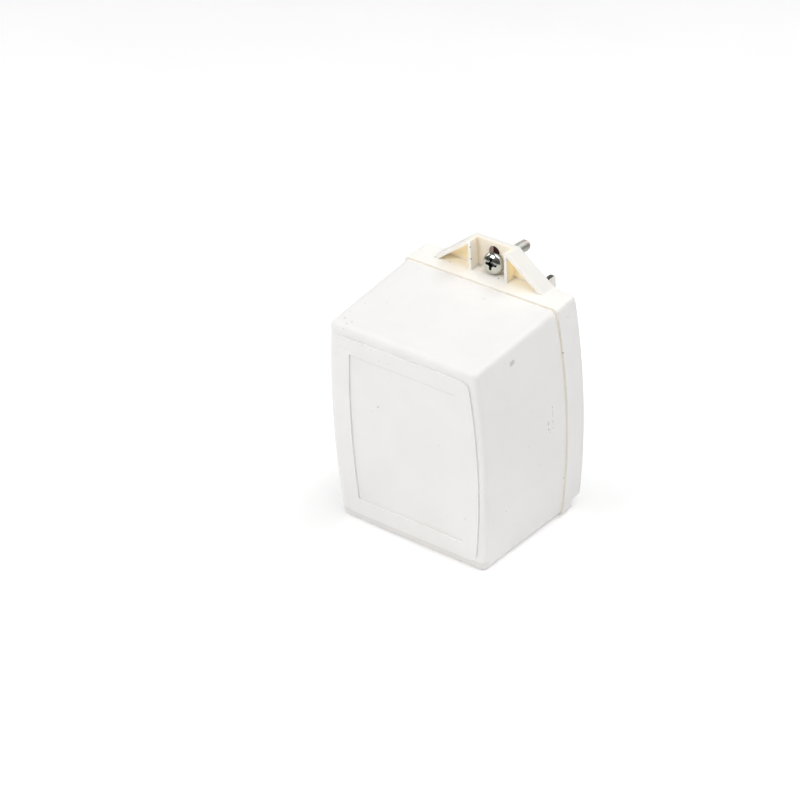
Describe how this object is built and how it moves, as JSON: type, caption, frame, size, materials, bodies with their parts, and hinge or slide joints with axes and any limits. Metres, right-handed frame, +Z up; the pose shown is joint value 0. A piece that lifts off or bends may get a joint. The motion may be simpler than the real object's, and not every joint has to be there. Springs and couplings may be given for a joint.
{
  "type": "plug-in transformer",
  "caption": "Plug-in transformer: tapered barrel-sided housing, flat plug blades, screw terminals underneath and a mounting tab with a captive screw.",
  "frame": {"origin": "on the flat back face that lies against the wall, midway between the two plug blades", "axes": "+X across the front, to the right as seen from the front; +Y from the front towards the wall, the way the blades point; +Z up, towards the mounting tab"},
  "size_m": [0.059, 0.0645, 0.0804],
  "materials": {
    "housing_plastic": "ivory moulded plastic, satin",
    "blade_metal": "nickel plated",
    "plated_screw": "zinc plated",
    "fibre": "dark red pressed fibre",
    "terminal_metal": "nickel plated",
    "lamination_steel": "varnished edges of stacked sheets",
    "bracket_steel": "galvanised sheet",
    "bobbin_plastic": "moulded nylon",
    "enamelled_wire": "enamelled copper wire",
    "coil_tape": "polyester tape",
    "lead_insulation": "insulated wire",
    "fuse_metal": "turned can with tinned leads",
    "sleeve_plastic": "shrink sleeve",
    "insulating_board": "pressed board"
  },
  "bodies": {
    "housing": {"front_cover": "housing_plastic", "back_base": "housing_plastic", "plug_blade_left": "blade_metal", "plug_blade_right": "blade_metal", "terminal_plate_left": "terminal_metal", "terminal_plate_right": "terminal_metal", "terminal_screw_left": "plated_screw", "terminal_screw_right": "plated_screw", "secondary_lead_left": "lead_insulation", "secondary_lead_right": "lead_insulation", "e_laminations": "lamination_steel", "i_laminations": "lamination_steel", "core_bracket": "bracket_steel", "bobbin": "bobbin_plastic", "primary_winding": "enamelled_wire", "secondary_winding": "enamelled_wire", "primary_tape": "coil_tape", "secondary_tape": "coil_tape", "primary_lead": "lead_insulation", "thermal_fuse": "fuse_metal", "fuse_sleeve": "sleeve_plastic", "insulating_sheet": "insulating_board"},
    "mounting_screw": {"mounting_screw": "plated_screw", "retaining_washer": "fibre"}
  },
  "joints": [
    {"name": "mounting_screw_turn", "type": "hinge", "parent": "housing", "child": "mounting_screw", "pos_m": [0.00042, -0.00283, 0.01554], "axis": [-0.1156, 0.9691, -0.2181], "continuous": true}
  ]
}
